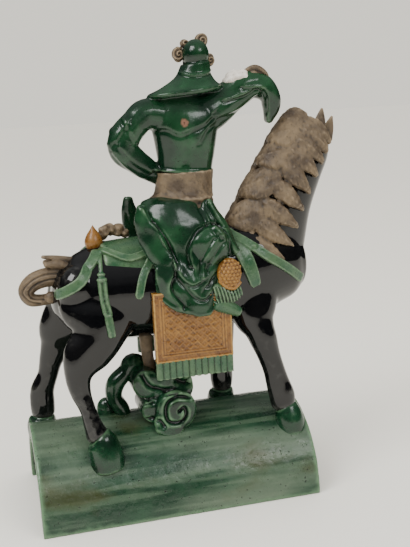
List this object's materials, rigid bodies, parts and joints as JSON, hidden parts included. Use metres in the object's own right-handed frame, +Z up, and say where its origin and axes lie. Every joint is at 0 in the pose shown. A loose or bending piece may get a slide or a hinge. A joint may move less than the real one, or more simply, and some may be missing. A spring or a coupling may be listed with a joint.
{
  "type": "roof ridge figure",
  "caption": "Half-round glazed earthenware ridge tile carrying a horse, on a scrolled cloud support, with an armoured rider who has one arm akimbo and one raised.",
  "frame": {"origin": "centre of the whole figure's box in plan, on the surface that the tile's two long rims stand on", "axes": "+Z up, +X the way the horse faces along the ridge, +Y from the horse's right flank to its left"},
  "size_m": [0.2996, 0.144, 0.4046],
  "materials": {
    "green_glaze": "glossy, mottled",
    "black_glaze": "glossy",
    "amber_glaze": "semi-gloss",
    "brown_biscuit": "matt, speckled",
    "plaster_repair": "matt, broken"
  },
  "bodies": {
    "root": {"ridge_figure": "green_glaze"}
  },
  "joints": []
}
